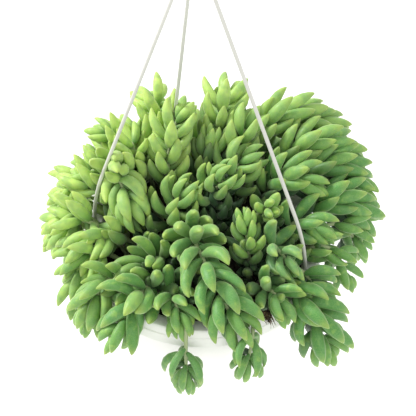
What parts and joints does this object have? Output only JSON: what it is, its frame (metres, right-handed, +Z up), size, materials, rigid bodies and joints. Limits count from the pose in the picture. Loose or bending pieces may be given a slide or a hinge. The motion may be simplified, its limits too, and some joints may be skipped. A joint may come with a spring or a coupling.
{
  "type": "potted burro's tail plant in a hanging basket",
  "caption": "Burro's tail succulent with plump leafy stems spilling over a white hanging basket on strands that meet at a hook.",
  "frame": {"origin": "the point inside the top of the hook that bears on a rail", "axes": "+Z up, -Y towards the side with the two hanging sprigs"},
  "size_m": [0.2787, 0.2711, 0.488],
  "materials": {
    "leaf": "plump succulent leaves, matte with a pale waxy bloom and yellowish tips",
    "pot": "white moulded plastic, satin",
    "hanger": "white moulded plastic, satin",
    "strand": "off-white moulded plastic strand, dull",
    "soil": "dark crumbly potting mix",
    "roots": "dry brown roots and moss"
  },
  "bodies": {
    "root": {"hook": "hanger", "strand_left": "strand", "strand_right": "strand", "strand_back": "strand", "clip_left": "strand", "clip_right": "strand", "clip_back": "strand", "pot": "pot", "soil": "soil", "root_tuft": "roots", "stem_back_left_far": "leaf", "stem_back_left_upper": "leaf", "stem_back_left_tall": "leaf", "stem_left_upper_inner": "leaf", "stem_left_upper": "leaf", "stem_left_high": "leaf", "stem_left_middle": "leaf", "stem_left_long": "leaf", "stem_left_hanging": "leaf", "stem_left_arching": "leaf", "stem_centre_left_bud": "leaf", "stem_left_front_wide": "leaf", "stem_left_low": "leaf", "stem_left_low_front": "leaf", "stem_front_left_large": "leaf", "stem_front_left_short": "leaf", "stem_front_centre_large": "leaf", "stem_front_rim_short": "leaf", "stem_front_sprig_left": "leaf", "stem_front_sprig_right": "leaf", "stem_back_centre_tall": "leaf", "stem_back_centre_inner": "leaf", "stem_back_centre_right": "leaf", "stem_right_back_large": "leaf", "stem_right_back_second": "leaf", "stem_right_back_third": "leaf", "stem_right_middle": "leaf", "stem_right_hanging": "leaf", "stem_right_inner": "leaf", "stem_centre_right_bud": "leaf", "stem_centre_tuft": "leaf", "stem_centre_low": "leaf", "stem_young_front": "leaf", "stem_young_right": "leaf", "stem_right_front_inner": "leaf", "stem_right_low": "leaf", "stem_right_curled": "leaf", "stem_right_low_front": "leaf", "stem_front_right_hang": "leaf", "stem_front_right_large": "leaf", "stem_inner_left": "leaf", "stem_inner_front": "leaf", "stem_inner_right": "leaf", "stem_back_hang_1": "leaf", "stem_back_hang_2": "leaf", "stem_back_hang_3": "leaf", "stem_back_hang_4": "leaf", "stem_back_hang_5": "leaf", "stem_back_hang_6": "leaf", "stem_back_hang_7": "leaf"}
  },
  "joints": []
}
